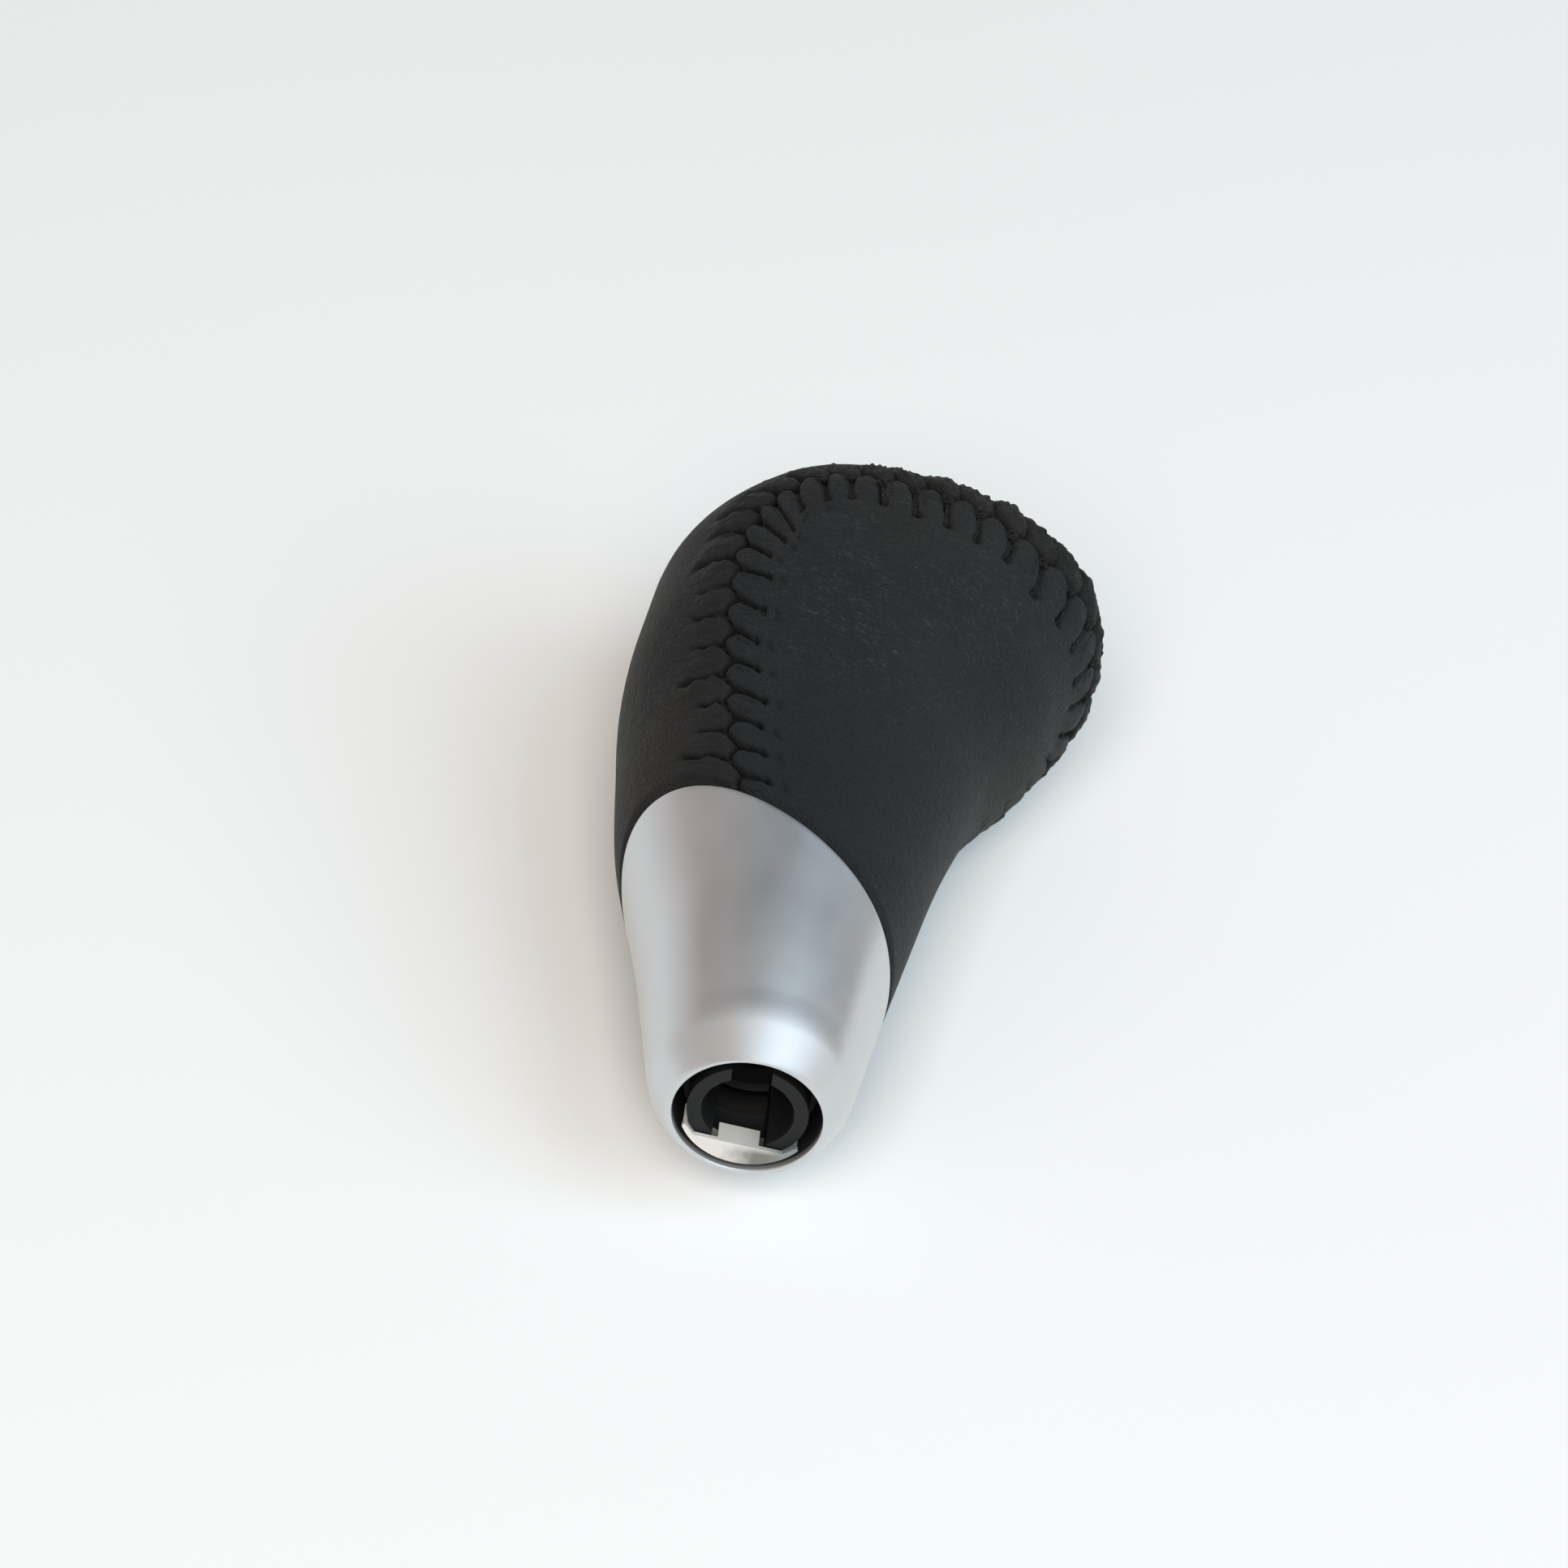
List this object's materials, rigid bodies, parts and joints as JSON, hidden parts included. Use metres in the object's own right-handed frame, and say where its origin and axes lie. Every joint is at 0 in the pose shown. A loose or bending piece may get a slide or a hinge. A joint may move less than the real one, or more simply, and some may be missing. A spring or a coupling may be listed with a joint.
{
  "type": "gear shift knob",
  "caption": "Leather-wrapped gear shift knob with a laced seam, a leaning head, a slanted satin metal collar and a sprung clip in its lever socket.",
  "frame": {"origin": "centre of the collar's mouth, in the plane of its rim", "axes": "+Z along the lever socket's axis towards the crown; -Y towards the face panel; +X towards the side that the head bulges to"},
  "size_m": [0.0558, 0.0437, 0.094],
  "materials": {
    "satin_metal": "satin",
    "spring_steel": "bright",
    "screw_steel": "zinc plated",
    "black_nylon": "moulded, fine texture",
    "core_plastic": "moulded",
    "rubber": "matte",
    "padding": "foam",
    "face_leather": "matte fine grain",
    "rear_leather": "matte fine grain",
    "thread": "twisted thread"
  },
  "bodies": {
    "knob": {"collar": "satin_metal", "collar_ring": "spring_steel", "lever_socket": "black_nylon", "bore_damper": "rubber", "core_front_half": "core_plastic", "core_rear_half": "core_plastic", "core_screws": "screw_steel", "foam_face_pad": "padding", "foam_rear_pad": "padding", "leather_face_panel": "face_leather", "leather_rear_panel": "rear_leather", "seam_thread": "thread"},
    "clip": {"retaining_clip": "spring_steel"}
  },
  "joints": [
    {"name": "clip_release", "type": "slide", "parent": "knob", "child": "clip", "axis": [-0.1392, 0.9903, 0], "range_m": [0, 0.0007], "stiffness_N_per_m": 60, "springref_m": -0.0003}
  ]
}
